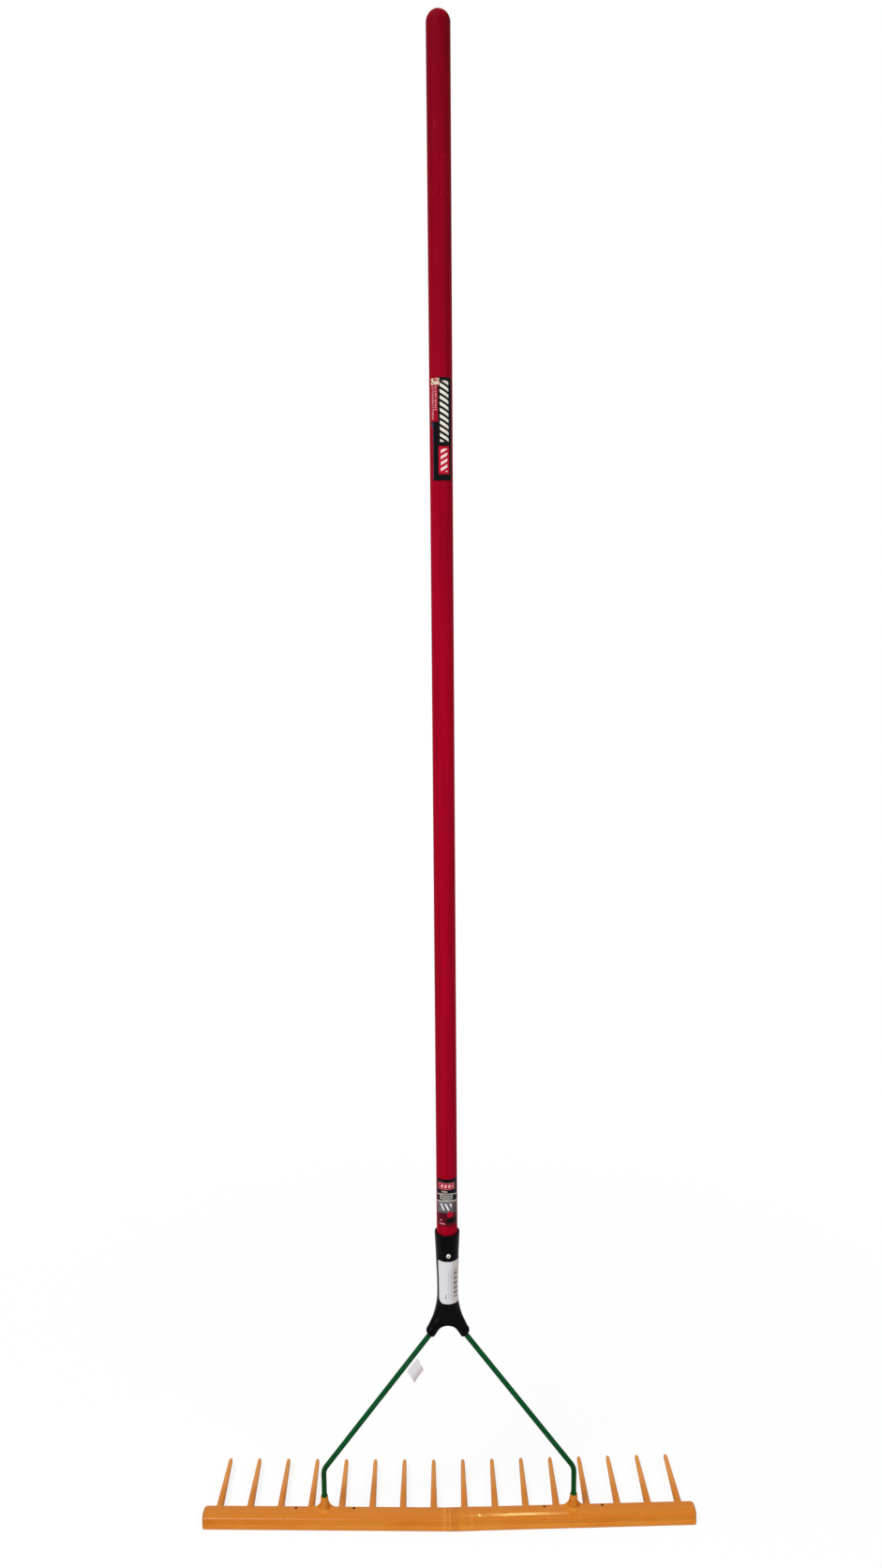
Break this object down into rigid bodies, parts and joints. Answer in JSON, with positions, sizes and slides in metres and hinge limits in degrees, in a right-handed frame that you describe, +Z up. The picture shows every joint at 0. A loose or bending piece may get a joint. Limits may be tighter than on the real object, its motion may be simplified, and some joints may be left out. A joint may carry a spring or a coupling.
{
  "type": "leveling rake",
  "caption": "Wide leveling rake: moulded toothed head on two bent rods that meet in a forked socket on a long round wooden handle.",
  "frame": {"origin": "on the flat underside of the head's right half, close to the seam and in line with the handle's axis", "axes": "+Z up the handle, +X along the head to the right in the picture, +Y the way the tines point, away from the viewer"},
  "size_m": [0.6096, 0.1158, 1.719],
  "materials": {
    "painted_wood": "satin paint",
    "printed_film": "gloss print",
    "black_plastic": "satin",
    "rivet_metal": "bright",
    "white_paper": "coated paper",
    "green_steel": "gloss coating",
    "head_plastic": "satin moulded"
  },
  "bodies": {
    "root": {"handle": "painted_wood", "handle_decal": "printed_film", "handle_label": "printed_film", "fork_socket": "black_plastic", "socket_rivet": "rivet_metal", "socket_sticker": "white_paper", "rod_left": "green_steel", "rod_right": "green_steel", "paper_flag": "white_paper", "head_bar_left": "head_plastic", "head_bar_right": "head_plastic", "tine_01": "head_plastic", "tine_02": "head_plastic", "tine_03": "head_plastic", "tine_04": "head_plastic", "tine_05": "head_plastic", "tine_06": "head_plastic", "tine_07": "head_plastic", "tine_08": "head_plastic", "tine_09": "head_plastic", "tine_10": "head_plastic", "tine_11": "head_plastic", "tine_12": "head_plastic", "tine_13": "head_plastic", "tine_14": "head_plastic", "tine_15": "head_plastic", "tine_16": "head_plastic"}
  },
  "joints": []
}
